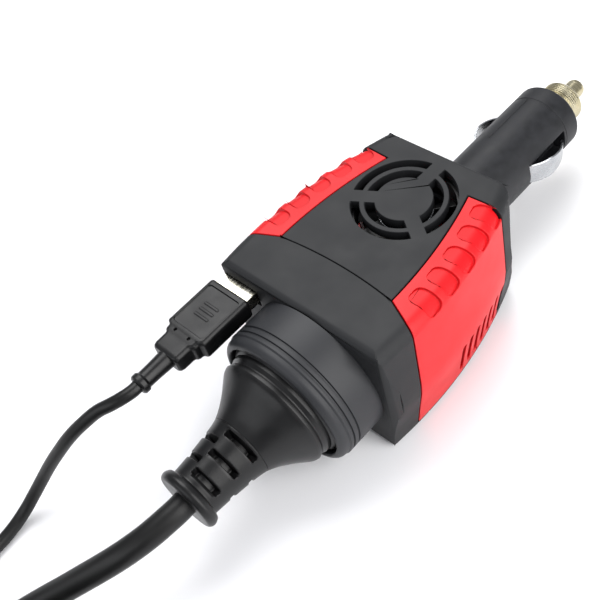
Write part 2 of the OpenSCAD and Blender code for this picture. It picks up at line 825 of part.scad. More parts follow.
usb_start = [-usb_x, usb_relief_end, usb_z];
usb_coil_at = [-17.8, -275.5];
usb_rings = 12;
usb_route = [
    usb_start, [-21, -94, 35.6], [-21.7, -97, 35.5], [-23.2, -100, 34.9],
    [-25.5, -103, 33.6], [-28, -107, 31], [-31, -111.4, 27], [-34, -115.4, 22],
    [-37, -119.2, 16.6], [-39.4, -123, 11.4], [-41, -127.4, 6.8], [-41.6, -132, 3.6],
    [-41.2, -138, 2], [-40.6, -146, 1.8], [-40, -156, 1.8], [-39.6, -168, 1.8],
    [-39.5, -182, 1.8], [-39.7, -197, 1.8], [-40.2, -212, 1.8], [-40.8, -228, 1.8],
    [-41.1, -244, 1.8], [-41.2, -260, 1.8]
];
module usb_cord() {
    color(pvc_black) tube(usb_route, usb_d / 2, 8);
}
module usb_coil() { coil(usb_coil_at, usb_d, usb_rings * usb_d / 2, coil_columns, usb_layers); }
module usb_tie() { tie(usb_coil_at, usb_d, usb_rings * usb_d / 2, coil_columns, usb_layers, -14); }

module device_plug() {
    top = usb_layers * usb_d;
    at = [usb_coil_at[0] + 7.3, usb_coil_at[1] - 17.1, top];
    color(pvc_black) translate(at) rotate(-90) {
        rounded_xz(0, 3.1, 10.4, 6, 1.4, -4, 12);
        rod_y(0, -12, 3.1, 2.4, 8);
    }
    color(steel) translate(at) rotate(-90) rounded_xz(0, 3.1, 6.9, 1.9, 0.5, 12, 17.5);
}

top_shell();
bottom_shell();
front_cap();
side_grip_left();
side_grip_right();
case_screws();
socket_collar();
socket_insert();
socket_contacts();
socket_leads();
usb_port();
usb_tongue();
usb_board();
main_board();
transformer_core();
transformer_winding();
heatsink();
power_transistors();
capacitors();
fan_frame();
fan_rotor();
input_leads();
plug_barrel();
nose_ring();
centre_contact();
fuse();
contact_spring();
earth_spring_left();
earth_spring_right();
ac_plug_body();
ac_plug_pins();
ac_strain_relief();
mains_cord();
mains_coil();
mains_tie();
appliance_connector();
usb_plug_shell();
usb_plug_insulator();
usb_plug_grip();
usb_strain_relief();
usb_cord();
usb_coil();
usb_tie();
device_plug();
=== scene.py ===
"""Looks of a plug-in power inverter with its mains lead and its USB lead.

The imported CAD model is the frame. Every piece made here rides on one of its bodies and
lies where the CAD puts it. Shapes are worked out in millimetres and kept in metres.
"""

import logging
import math
from dataclasses import dataclass, field
from enum import Enum
from typing import Any, Iterable, Sequence

import bmesh
import bpy
from mathutils import Matrix, Vector
from mathutils.bvhtree import BVHTree


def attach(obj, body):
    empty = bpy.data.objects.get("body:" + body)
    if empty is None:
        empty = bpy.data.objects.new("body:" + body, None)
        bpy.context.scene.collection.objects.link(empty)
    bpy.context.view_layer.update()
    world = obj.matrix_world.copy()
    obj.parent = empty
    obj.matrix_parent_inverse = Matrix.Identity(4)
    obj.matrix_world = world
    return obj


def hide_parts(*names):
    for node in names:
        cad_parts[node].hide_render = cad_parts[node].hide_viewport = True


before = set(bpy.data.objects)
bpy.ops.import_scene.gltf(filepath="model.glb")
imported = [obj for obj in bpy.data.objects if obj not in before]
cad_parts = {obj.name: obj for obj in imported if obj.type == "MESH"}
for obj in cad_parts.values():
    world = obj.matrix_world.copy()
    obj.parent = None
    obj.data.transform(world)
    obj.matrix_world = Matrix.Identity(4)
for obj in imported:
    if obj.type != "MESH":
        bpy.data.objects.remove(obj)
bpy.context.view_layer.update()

log = logging.getLogger("inverter")
MM = 0.001
FULL_TURN = 2 * math.pi
WELD = 2e-3  # Corners nearer than this, in millimetres, are one.
FLAT = math.radians(0.05)  # Faces that differ by less lie in one plane.
CRISP = math.radians(32)  # Edges that turn by more are rounded.
Point = tuple[float, float]
Place = tuple[float, float, float]


class Body(Enum):
    """The CAD bodies that pieces ride on."""

    HOUSING = "housing"
    FAN = "fan"
    CONTACT = "contact"
    SPRING_LEFT = "spring_left"
    SPRING_RIGHT = "spring_right"
    MAINS_LEAD = "mains_lead"
    USB_LEAD = "usb_lead"


class Slot(Enum):
    """Names of the record's material slots."""

    CASE = "case_black"
    GRIP = "grip_red"
    PLUG = "plug_black"
    CORD = "cord_black"
    NICKEL = "nickel"
    SPRING = "spring_steel"
    FAN = "fan_black"
    TIE = "tie_black"


# ---- Outlines ----


def arc(centre: Point, radius: float, start: float, end: float, steps: int = 8) -> list[Point]:
    """Points along an arc.

    Args:
        centre: Centre of the arc.
        radius: Its radius.
        start: First angle in degrees.
        end: Last angle in degrees.
        steps: How many chords it has.

    Returns:
        The points from start to end.
    """
    turns = [math.radians(start + (end - start) * i / steps) for i in range(steps + 1)]
    return [(centre[0] + radius * math.cos(a), centre[1] + radius * math.sin(a)) for a in turns]


def filleted(corners: Sequence[tuple[float, float, float]], closed: bool = False) -> list[Point]:
    """Outline whose corners are rounded.

    Args:
        corners: Each corner as (u, v, fillet radius). A radius of 0 stays sharp.
        closed: Whether the last corner joins the first, so that both may be rounded.

    Returns:
        The outline's points in order.
    """
    steps = 5
    out: list[Point] = []
    count = len(corners)
    for i, (u, v, radius) in enumerate(corners):
        inner = closed or 0 < i < count - 1
        if radius <= 0 or not inner:
            out.append((u, v))
            continue
        corner = Vector((u, v))
        before = (Vector(corners[i - 1][:2]) - corner).normalized()
        after = (Vector(corners[(i + 1) % count][:2]) - corner).normalized()
        half = before.angle(after) / 2
        middle = corner + (before + after).normalized() * radius / math.sin(half)
        first = corner + before * radius / math.tan(half) - middle
        last = corner + after * radius / math.tan(half) - middle
        turn = math.atan2(first.x * last.y - first.y * last.x, first.dot(last))
        for k in range(steps + 1):
            spoke = Matrix.Rotation(turn * k / steps, 2) @ first
            out.append((middle.x + spoke.x, middle.y + spoke.y))
    return out


def flowing(knots: Sequence[Point], steps: int = 6) -> list[Point]:
    """Smooth line through every knot.

    Args:
        knots: Points that the line passes through.
        steps: Points from one knot to the next.

    Returns:
        The line's points, the two end knots included.
    """
    out: list[Point] = []
    spots = [Vector(knots[0]), *map(Vector, knots), Vector(knots[-1])]
    for a, b, c, d in zip(spots, spots[1:], spots[2:], spots[3:]):
        for k in range(steps):
            t = k / steps
            p = b * 2 + (c - a) * t + (a * 2 - b * 5 + c * 4 - d) * t**2
            p = (p + (b * 3 - a - c * 3 + d) * t**3) / 2
            out.append((p.x, p.y))
    return [*out, tuple(knots[-1])]


def rounded_rect(width: float, height: float, radius: float, steps: int = 5) -> list[Point]:
    """Rectangle about the origin with round corners, anticlockwise.

    Args:
        width: Size along the first axis.
        height: Size along the second axis.
        radius: Radius of the corners.
        steps: Chords in each corner.

    Returns:
        The outline's points.
    """
    x, y = width / 2 - radius, height / 2 - radius
    spots = ((x, y, 0), (-x, y, 90), (-x, -y, 180), (x, -y, 270))
    return [p for cx, cy, a in spots for p in arc((cx, cy), radius, a, a + 90, steps)]


# ---- Mesh work, in millimetres ----

ALONG_Y = Matrix(((1, 0, 0, 0), (0, 0, 1, 0), (0, 1, 0, 0), (0, 0, 0, 1)))


def turned(profile: Sequence[Point], x: float, z: float, steps: int = 96) -> bmesh.types.BMesh:
    """Solid of revolution about a line along Y.

    Args:
        profile: (radius, y) points. It ends on the axis or its ends are joined.
        x: Where the line crosses X.
        z: Height of the line.
        steps: Facets round the solid.

    Returns:
        The closed mesh.
    """
    bm = bmesh.new()
    verts = [bm.verts.new((x + r, y, z)) for r, y in profile]
    edges = [bm.edges.new(pair) for pair in zip(verts, verts[1:])]
    if profile[0][0] > 0 and profile[-1][0] > 0:
        edges.append(bm.edges.new((verts[-1], verts[0])))
    bmesh.ops.spin(
        bm, geom=verts + edges, cent=(x, 0, z), axis=(0, 1, 0), dvec=(0, 0, 0),
        angle=FULL_TURN, steps=steps, use_merge=True, use_duplicate=False,
    )
    bmesh.ops.remove_doubles(bm, verts=bm.verts, dist=1e-4)
    bmesh.ops.recalc_face_normals(bm, faces=bm.faces)
    return bm


def prism(outline: Sequence[Point], low: float, high: float,
          place: Matrix = Matrix.Identity(4)) -> bmesh.types.BMesh:
    """Straight solid on an outline.

    Args:
        outline: Closed outline in XY.
        low: Where it starts along Z.
        high: Where it ends along Z.
        place: Where the solid then goes.

    Returns:
        The closed mesh.
    """
    bm = bmesh.new()
    face = bm.faces.new([bm.verts.new((u, v, low)) for u, v in outline])
    grown = bmesh.ops.extrude_face_region(bm, geom=[face])["geom"]
    top = [g for g in grown if isinstance(g, bmesh.types.BMVert)]
    bmesh.ops.translate(bm, verts=top, vec=(0, 0, high - low))
    bm.transform(place)
    bmesh.ops.recalc_face_normals(bm, faces=bm.faces)
    return bm


def lofted(stations: Sequence[tuple[float, Sequence[Point]]], centre: Point) -> bmesh.types.BMesh:
    """Closed solid through cross-sections that have equally many points.

    Args:
        stations: Each as (y, outline in XZ about the centre).
        centre: The line's (x, z).

    Returns:
        The closed mesh.
    """
    bm = bmesh.new()
    rings = []
    for y, outline in stations:
        verts = [bm.verts.new((centre[0] + u, y, centre[1] + v)) for u, v in outline]
        rings.append([bm.edges.new(pair) for pair in zip(verts, verts[1:] + verts[:1])])
    for near, far in zip(rings, rings[1:]):
        bmesh.ops.bridge_loops(bm, edges=near + far)
    bmesh.ops.holes_fill(bm, edges=rings[0] + rings[-1], sides=0)
    bmesh.ops.recalc_face_normals(bm, faces=bm.faces)
    return bm


def merged(parts: Iterable[bmesh.types.BMesh]) -> bmesh.types.BMesh:
    """One mesh that holds all of the given ones, which are freed."""
    whole = bmesh.new()
    for part in parts:
        mesh = bpy.data.meshes.new("part")
        part.to_mesh(mesh)
        part.free()
        whole.from_mesh(mesh)
        bpy.data.meshes.remove(mesh)
    return whole


def linked(name: str, data: bpy.types.ID) -> bpy.types.Object:
    """New object that holds the data, in the scene."""
    obj = bpy.data.objects.new(name, data)
    bpy.context.scene.collection.objects.link(obj)
    return obj


def carved(body: bmesh.types.BMesh, tool: bmesh.types.BMesh,
           operation: str = "DIFFERENCE") -> bmesh.types.BMesh:
    """Cuts one solid with another, or joins them.

    Args:
        body: The solid that is kept. It is freed.
        tool: The solid that cuts it. It is freed.
        operation: DIFFERENCE, UNION or INTERSECT.

    Returns:
        The new mesh.
    """
    helpers = []
    for bm in (body, tool):
        mesh = bpy.data.meshes.new("helper")
        bm.to_mesh(mesh)
        bm.free()
        helpers.append(linked("helper", mesh))
    cut = helpers[0].modifiers.new("cut", "BOOLEAN")
    cut.object = helpers[1]
    cut.operation = operation
    cut.solver = "EXACT"
    view = bpy.context.evaluated_depsgraph_get()
    result = bpy.data.meshes.new_from_object(helpers[0].evaluated_get(view))
    out = bmesh.new()
    out.from_mesh(result)
    bpy.data.meshes.remove(result)
    for helper in helpers:
        mesh = helper.data
        bpy.data.objects.remove(helper)
        bpy.data.meshes.remove(mesh)
    return out


def softened_copy(node: str) -> bmesh.types.BMesh:
    """Copy of a CAD node in millimetres, with its loose triangles merged into faces."""
    bm = bmesh.new()
    bm.from_mesh(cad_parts[node].data)
    bmesh.ops.scale(bm, vec=(1 / MM,) * 3, verts=bm.verts)
    bmesh.ops.remove_doubles(bm, verts=bm.verts, dist=WELD)
    bmesh.ops.dissolve_limit(
        bm, angle_limit=FLAT, verts=bm.verts[:], edges=bm.edges[:],
        use_dissolve_boundaries=False, delimit=set(),
    )
    return bm


def make_piece(name: str, bm: bmesh.types.BMesh, finish: "Finish", body: Body,
               replaces: Sequence[str], edge: float = 0.0,
               smooth_to: float = 40) -> bpy.types.Object:
    """Turns a mesh in millimetres into a finished piece.

    Args:
        name: Name of the piece.
        bm: Its mesh, which is freed.
        finish: Its finish.
        body: The CAD body it rides on.
        replaces: The CAD nodes that it stands for.
        edge: Width of a live rounding on its sharp edges, or 0.
        smooth_to: Edges that turn by more than this many degrees stay crisp.

    Returns:
        The new object.
    """
    bmesh.ops.scale(bm, vec=(MM,) * 3, verts=bm.verts)
    mesh = bpy.data.meshes.new(name)
    bm.to_mesh(mesh)
    bm.free()
    mesh.materials.append(finish.build())
    mesh.shade_smooth()
    piece = linked(name, mesh)
    if edge:
        bevel = piece.modifiers.new("edges", "BEVEL")
        bevel.width = edge * MM
        bevel.segments = 2
        bevel.limit_method = "ANGLE"
        bevel.angle_limit = CRISP
        bevel.use_clamp_overlap = False
        even = piece.modifiers.new("shading", "WEIGHTED_NORMAL")
        even.weight = 80
        even.keep_sharp = True
    else:
        mesh.set_sharp_from_angle(angle=math.radians(smooth_to))
    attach(piece, body.value)
    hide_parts(*replaces)
    log.info("%s rides on %s", name, body.value)
    return piece


# ---- Finishes ----


def srgb(code: str) -> tuple[float, float, float, float]:
    """Linear colour of an sRGB hex value such as #2A2B2D."""
    parts = [int(code[i:i + 2], 16) / 255 for i in (1, 3, 5)]
    linear = [c / 12.92 if c <= 0.04045 else ((c + 0.055) / 1.055) ** 2.4 for c in parts]
    return (*linear, 1.0)


def per_mm(size: float) -> float:
    """Texture scale at which one feature of a pattern measures size millimetres."""
    return 1 / (size * MM)


class Paint:
    """Node tree of one material: its principled shader and what feeds it."""

    def __init__(self, tree: bpy.types.NodeTree) -> None:
        """Sets up the shader in an emptied tree."""
        tree.nodes.clear()
        self.tree = tree
        self.shader = self.add("ShaderNodeBsdfPrincipled")
        self.add("ShaderNodeOutputMaterial", {"Surface": self.shader.outputs[0]})
        self.spot = self.add("ShaderNodeTexCoord").outputs["Object"]

    def add(self, kind: str, settings: dict | None = None) -> bpy.types.Node:
        """Adds a node.

        Args:
            kind: Its type.
            settings: Values or sockets by input name or number, or values by attribute name.

        Returns:
            The node.
        """
        node = self.tree.nodes.new(kind)
        for key, value in (settings or {}).items():
            if isinstance(key, str) and key not in node.inputs:
                setattr(node, key, value)
            else:
                self.give(node.inputs[key], value)
        return node

    def give(self, entry: bpy.types.NodeSocket, value: Any) -> None:
        """Sets an input to a value, or links another node's output to it."""
        if isinstance(value, bpy.types.NodeSocket):
            self.tree.links.new(value, entry)
        else:
            entry.default_value = value

    def feed(self, name: str, value: Any) -> None:
        """Gives one of the shader's inputs a value or a socket."""
        self.give(self.shader.inputs[name], value)

    def maths(self, operation: str, first: Any, second: Any) -> bpy.types.NodeSocket:
        """Result of an operation on two values or sockets."""
        return self.add("ShaderNodeMath",
                        {"operation": operation, 0: first, 1: second}).outputs[0]

    def noise(self, size: float, detail: float = 2,
              spot: bpy.types.NodeSocket | None = None) -> bpy.types.NodeSocket:
        """Noise from 0 to 1 whose patches measure size millimetres."""
        return self.add("ShaderNodeTexNoise", {
            "Scale": per_mm(size), "Detail": detail,
            "Vector": self.spot if spot is None else spot,
        }).outputs["Fac"]

    def spread(self, noise: bpy.types.NodeSocket, low: float,
               high: float) -> bpy.types.NodeSocket:
        """Maps the middle of a noise's range to run from low to high."""
        return self.add("ShaderNodeMapRange", {
            "From Min": 0.3, "From Max": 0.7, "To Min": low, "To Max": high, "Value": noise,
        }).outputs["Result"]

    def blend(self, share: bpy.types.NodeSocket, first: str, second: str) -> None:
        """Makes the base colour go from first to second with share."""
        mix = self.add("ShaderNodeMix", {"data_type": "RGBA"})
        for entry, value in ((0, share), (6, srgb(first)), (7, srgb(second))):
            self.give(mix.inputs[entry], value)
        self.feed("Base Color", mix.outputs[2])

    def relief(self, height: bpy.types.NodeSocket, depth: float) -> None:
        """Adds a relief of depth millimetres from a height of 0 to 1."""
        bump = self.add("ShaderNodeBump",
                        {"Strength": 1.0, "Distance": depth * MM, "Height": height})
        self.feed("Normal", bump.outputs["Normal"])


@dataclass(frozen=True)
class Finish:
    """What every finish has: a name, a colour and how it takes the light."""

    name: str
    colour: str
    roughness: float

    def build(self) -> bpy.types.Material:
        """The material, made once and then shared."""
        known = bpy.data.materials.get(self.name)
        if known:
            return known
        material = bpy.data.materials.new(self.name)
        material.use_nodes = True
        paint = Paint(material.node_tree)
        paint.feed("Base Color", srgb(self.colour))
        paint.feed("Roughness", self.roughness)
        self.detail(paint)
        return material

    def detail(self, paint: Paint) -> None:
        """Adds what this kind of finish has beyond its colour."""
        raise NotImplementedError


@dataclass(frozen=True)
class Moulded(Finish):
    """Injection-moulded plastic: slow drifts of shade under a fine tool texture."""

    second: str = "#000000"
    grain: float = 0.35
    relief: float = 0.012
    gloss_drift: float = 0.06
    drift: float = 9.0
    ior: float = 1.53

    def detail(self, paint: Paint) -> None:
        """Adds the drift of shade and gloss, and the texture's relief."""
        slow = paint.noise(self.drift)
        paint.feed("IOR", self.ior)
        paint.blend(paint.spread(slow, 0, 1), self.colour, self.second)
        low, high = self.roughness - self.gloss_drift, self.roughness + self.gloss_drift
        paint.feed("Roughness", paint.spread(slow, low, high))
        paint.relief(paint.noise(self.grain, 3), self.relief)


@dataclass(frozen=True)
class Plated(Finish):
    """Metal with fine marks left by turning or rolling, which run across one axis."""

    marks: float = 0.25
    relief: float = 0.004
    stretch: tuple[float, float, float] = (1.0, 1.0, 1.0)
    second: str = "#FFFFFF"

    def detail(self, paint: Paint) -> None:
        """Adds the metal's tarnish and its marks."""
        laid = paint.add("ShaderNodeMapping", {"Scale": self.stretch, "Vector": paint.spot})
        fine = paint.noise(self.marks, 4, laid.outputs[0])
        paint.feed("Metallic", 1.0)
        paint.blend(paint.spread(paint.noise(4.0), 0, 1), self.colour, self.second)
        paint.feed("Roughness", paint.spread(fine, self.roughness * 0.7, self.roughness * 1.4))
        paint.relief(fine, self.relief)


@dataclass(frozen=True)
class Banded(Finish):
    """A surface with even bands along one axis, such as wound wire or board tracks."""

    second: str = "#000000"
    pitch: float = 0.5
    axis: str = "Z"
    relief: float = 0.1
    metallic: float = 0.0

    def detail(self, paint: Paint) -> None:
        """Adds the bands as shade and relief."""
        bands = paint.add("ShaderNodeTexWave", {
            "wave_type": "BANDS", "bands_direction": self.axis,
            "Scale": per_mm(self.pitch) / 20, "Distortion": 0.4, "Vector": paint.spot,
        }).outputs["Fac"]
        paint.feed("Metallic", self.metallic)
        paint.blend(bands, self.second, self.colour)
        paint.relief(bands, self.relief)


@dataclass(frozen=True)
class SplitInsulation(Finish):
    """Lead insulation that is one colour right of a plane and another left of it."""

    second: str = "#101010"
    split_x: float = 0.0

    def detail(self, paint: Paint) -> None:
        """Adds the change of colour and a faint waxy unevenness."""
        x = paint.add("ShaderNodeSeparateXYZ", {"Vector": paint.spot}).outputs["X"]
        right = paint.maths("GREATER_THAN", x, self.split_x * MM)
        paint.blend(right, self.second, self.colour)
        paint.relief(paint.noise(1.2), 0.02)


@dataclass(frozen=True)
class ClearTube(Finish):
    """Clear drawn glass with metal caps at both ends."""

    cap_to: float = 0.0
    cap_from: float = 0.0

    def detail(self, paint: Paint) -> None:
        """Adds the caps, which are all that is past either end of the glass."""
        y = paint.add("ShaderNodeSeparateXYZ", {"Vector": paint.spot}).outputs["Y"]
        low = paint.maths("LESS_THAN", y, self.cap_to * MM)
        high = paint.maths("GREATER_THAN", y, self.cap_from * MM)
        paint.feed("Metallic", paint.maths("ADD", low, high))
        paint.blend(paint.noise(3), self.colour, "#C9CFD2")


# Spark-eroded ABS: satin charcoal whose fine grain breaks up reflections.
CASE_ABS = Moulded("moulded_charcoal_abs", "#191A1C", 0.58, second="#1F2022", grain=0.28, ior=1.38,
                   relief=0.010)
# Socket collar: the case's plastic, a little lighter and smoother from turning.
COLLAR_ABS = Moulded("moulded_grey_abs", "#222326", 0.46, second="#28292C", grain=0.28, ior=1.4,
                     drift=30)
# Polished-tool ABS in red: clean colour, soft wide highlights.
GRIP_ABS = Moulded("moulded_red_abs", "#CF0B15", 0.46, second="#C50912", grain=0.6, ior=1.38,
                   relief=0.004, gloss_drift=0.03)
# Flexible PVC of the plug and its strain relief: darker, oily sheen.
PLUG_PVC = Moulded("moulded_black_pvc", "#0A0A0B", 0.36, second="#0E0E0F", grain=0.5, ior=1.38,
                   relief=0.012, drift=6)
# Extruded PVC sheath of the cords: even and slightly dull, faint lengthwise drift.
CORD_PVC = Moulded("extruded_black_pvc", "#0C0C0C", 0.42, second="#121212", grain=0.8, ior=1.38,
                   relief=0.015, drift=14)
# Hard ABS of the vehicle plug: cooler and more mottled than the case.
BARREL_ABS = Moulded("moulded_blue_black_abs", "#121316", 0.5, second="#1B1C20", grain=0.45,
                     ior=1.42, relief=0.02, drift=3)
# Nylon of the fan: plain satin black.
FAN_NYLON = Moulded("moulded_black_nylon", "#070708", 0.4, second="#0C0C0D")
# White PBT of the USB tongues: milky, nearly matt.
USB_PBT = Moulded("moulded_white_pbt", "#E6E4DC", 0.5, second="#DCD9CF", relief=0.006)
# Sintered ferrite: matt, speckled dark grey.
FERRITE = Moulded("sintered_ferrite", "#2C2C2F", 0.75, second="#3A3A3D", grain=0.2, relief=0.03)
# Filled epoxy of power packages: flat black with a dusty grain.
EPOXY = Moulded("moulded_epoxy", "#1B1B1C", 0.6, second="#222224", grain=0.15, relief=0.01)
# Printed PET sleeve shrunk on the capacitors: glossy deep blue.
CAP_SLEEVE = Moulded("shrunk_blue_pet_sleeve", "#1C2C6B", 0.25, second="#223377", relief=0.004)
# Woven nylon hook-and-loop strap: soft, dull and ribbed.
STRAP = Banded("woven_nylon_strap", "#1D1D1F", 0.85, second="#101011", pitch=0.6, relief=0.12)
# Nickel-plated brass of the nose: bright with a yellow cast, turned marks round the axis.
NOSE_NICKEL = Plated("turned_nickel_plated_brass", "#C9C2A8", 0.26, second="#B5AA86",
                     marks=0.5, stretch=(0.1, 1.0, 0.1), relief=0.01)
# Tin-plated steel sheet of the USB shells: bright, faintly drawn lengthwise.
USB_STEEL = Plated("drawn_tin_plated_steel", "#D9D7CC", 0.24, second="#C6C2B0", marks=0.4,
                   stretch=(1.0, 0.08, 1.0))
# Chromed spring steel of the earth springs: mirror bright with soft rolling marks.
SPRING_CHROME = Plated("rolled_chromed_spring_steel", "#B4B6B8", 0.26, second="#A3A5A8",
                       marks=0.5, stretch=(1.0, 0.1, 1.0))
# Drawn spring wire: darker, semi-bright.
SPRING_WIRE = Plated("drawn_spring_wire", "#A9AAAB", 0.3, second="#8D8E90", marks=0.3)
# Zinc-plated steel of the screws: bluish silver.
SCREW_ZINC = Plated("zinc_plated_screw_steel", "#B9BEC6", 0.3, second="#A4A9AF", marks=0.4)
# Stamped brass of the socket contacts.
CONTACT_BRASS = Plated("stamped_brass", "#C8A24B", 0.28, second="#B8903E", marks=0.4)
# Extruded aluminium of the heatsink: dull silver with lengthwise die lines.
SINK_ALUMINIUM = Plated("extruded_aluminium", "#BFC2C6", 0.4, second="#AEB1B5", marks=0.3,
                        stretch=(1.0, 1.0, 0.05), relief=0.01)
# Punched steel of the fan's rotor cup.
ROTOR_STEEL = Plated("pressed_rotor_steel", "#D0D2D4", 0.25, second="#C0C2C5", marks=0.4)
# Solder mask over copper tracks: glossy green with paler lines.
BOARD = Banded("solder_masked_board", "#1F6B3A", 0.35, second="#164E2B", pitch=1.27, axis="X",
               relief=0.03)
# Enamelled copper wire, wound turn on turn.
WINDING = Banded("wound_enamelled_copper", "#C77B3B", 0.3, second="#6B3314", pitch=0.6,
                 relief=0.25, metallic=0.8)
# Silicone lead insulation: red for the supply, black for the return.
LEAD_SILICONE = SplitInsulation("silicone_lead_insulation", "#B01A1A", 0.5, split_x=-3)
# White table top: matt laminate.
FLOOR = Moulded("matt_white_laminate", "#F7F7F8", 0.8, second="#F4F4F6", relief=0.0, drift=300)


def dress(node: str, finish: Finish) -> None:
    """Gives a CAD node that stays its finish."""
    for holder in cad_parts[node].material_slots:
        holder.material = finish.build()
    log.info("%s keeps its CAD shape", node)


# ---- The stage ----


@dataclass
class Studio:
    """Camera, floor, lights and sky of a product shot.

    Attributes:
        target: Where the camera looks, in millimetres.
        azimuth: Its bearing from the target, from -Y towards +X, in degrees.
        elevation: Its height over the horizon, in degrees.
        roll: Its turn about its line of sight, in degrees.
        distance: How far it is from the target, in millimetres.
        lens: Its focal length in millimetres.
        lit: Where the soft boxes point, in millimetres.
    """

    target: Place = (-13.78, -43.49, 23.36)
    azimuth: float = 57.48
    elevation: float = 50.20
    roll: float = -18.33
    distance: float = 250.06
    lens: float = 54.889
    lit: Place = (-10, -40, 20)

    def build(self) -> None:
        """Makes all of them."""
        self.camera()
        self.floor()
        self.lights()

    def camera(self) -> None:
        """Looks down on the socket and the mains plug from the front right."""
        scene = bpy.context.scene
        around, up = math.radians(self.azimuth), math.radians(self.elevation)
        back = Vector((math.sin(around) * math.cos(up), -math.cos(around) * math.cos(up),
                       math.sin(up)))
        right = Vector((math.cos(around), math.sin(around), 0))
        axes = Matrix((right, back.cross(right), back)).transposed()
        turn = axes @ Matrix.Rotation(math.radians(self.roll), 3, "Z")
        data = bpy.data.cameras.new("camera")
        data.sensor_width = 36
        data.lens = self.lens
        data.clip_start = 0.01
        camera = linked("camera", data)
        spot = (Vector(self.target) + back * self.distance) * MM
        camera.matrix_world = Matrix.Translation(spot) @ turn.to_4x4()
        scene.camera = camera
        scene.view_settings.view_transform = "Standard"

    def floor(self) -> None:
        """Lays a plain white floor at the object's foot."""
        bm = bmesh.new()
        bmesh.ops.create_grid(bm, x_segments=1, y_segments=1, size=3.0)
        mesh = bpy.data.meshes.new("floor")
        bm.to_mesh(mesh)
        bm.free()
        mesh.materials.append(FLOOR.build())
        floor = linked("floor", mesh)

    def lights(self) -> None:
        """Hangs the soft boxes and fills the shadows with a pale sky."""
        self.soft_box("key", (-250, 160, 620), (0.50, 0.50), 4.4, (1.0, 1.0, 1.0))
        self.soft_box("right", (430, 20, 300), (0.30, 0.60), 3.0, (1.0, 0.99, 0.98))
        self.soft_box("front", (-60, -520, 330), (0.60, 0.25), 0.9, (0.97, 0.98, 1.0))
        world = bpy.data.worlds.new("studio")
        world.use_nodes = True
        sky = world.node_tree.nodes["Background"]
        sky.inputs["Color"].default_value = (0.93, 0.95, 1.0, 1.0)
        sky.inputs["Strength"].default_value = 0.42
        bpy.context.scene.world = world

    def soft_box(self, name: str, place: Place, size: Point, power: float,
                 colour: tuple[float, float, float]) -> None:
        """Hangs one soft box that faces the case.

        Args:
            name: Its name.
            place: Its centre in millimetres.
            size: Width and height in metres.
            power: Power in watts.
            colour: Linear colour of the light.
        """
        data = bpy.data.lights.new(name, "AREA")
        data.shape = "RECTANGLE"
        data.size, data.size_y = size
        data.energy = power
        data.color = colour
        spot = Vector(place) * MM
        turn = (Vector(self.lit) * MM - spot).to_track_quat("-Z", "Y")
        linked(name, data).matrix_world = Matrix.LocRotScale(spot, turn, None)


# ---- Cords ----


def eased(t: float) -> float:
    """Smooth step from 0 to 1."""
    t = min(max(t, 0.0), 1.0)
    return t * t * (3 - 2 * t)


@dataclass
class Coil:
    """A cord laid turn on turn in columns and layers, anticlockwise seen from above.

    Attributes:
        centre: Middle of the coil.
        start: Angle at which the cord comes in, in degrees. It is 180 or less.
        places: (radius, height) of each whole turn, and of where the last one ends.
        window: Angle in which the cord moves from one place to the next. Each move comes
            a third of it earlier in its turn than the one before, so turns never meet.
        step: Angle from one point to the next.
    """

    centre: Point
    start: float
    places: Sequence[Point]
    window: float
    step: float = 15.0

    def at(self, radius: float, angle: float, height: float) -> Place:
        """Point at an angle from the coil's start."""
        turn = math.radians(self.start + angle)
        return (self.centre[0] + radius * math.cos(turn),
                self.centre[1] + radius * math.sin(turn), height)

    def points(self) -> list[Place]:
        """Points along all whole turns, the last one's end left out."""
        out: list[Place] = []
        per_turn = round(360 / self.step)
        for number, (here, after) in enumerate(zip(self.places, self.places[1:]), 1):
            for i in range(per_turn):
                left = 360 - i * self.step
                share = eased(((number + 2) / 3 * self.window - left) / self.window)
                out.append(self.at(here[0] + (after[0] - here[0]) * share, i * self.step,
                                   here[1] + (after[1] - here[1]) * share))
        return out

    def lead_out(self, bend_r: float, high: float, length: float) -> list[Place]:
        """Points from the last whole turn's end to the end fitting, which points along X.

        Args:
            bend_r: Radius of the bend that brings the cord in line with the fitting.
            high: Height of the fitting's axis.
            length: How far the cord runs on into the fitting.

        Returns:
            The points.
        """
        radius, low = self.places[-1]
        leaves = 30.0
        out = [self.at(radius, 0, low), self.at(radius, 15, low)]
        turn = math.radians(self.start + leaves)
        middle = (self.centre[0] + (radius - bend_r) * math.cos(turn),
                  self.centre[1] + (radius - bend_r) * math.sin(turn))
        bend = arc(middle, bend_r, self.start + leaves, 270, 6)
        out += [(x, y, low + (high - low) * eased(i / 5)) for i, (x, y) in enumerate(bend)]
        return [*out, (middle[0] + length, middle[1] - bend_r, high)]


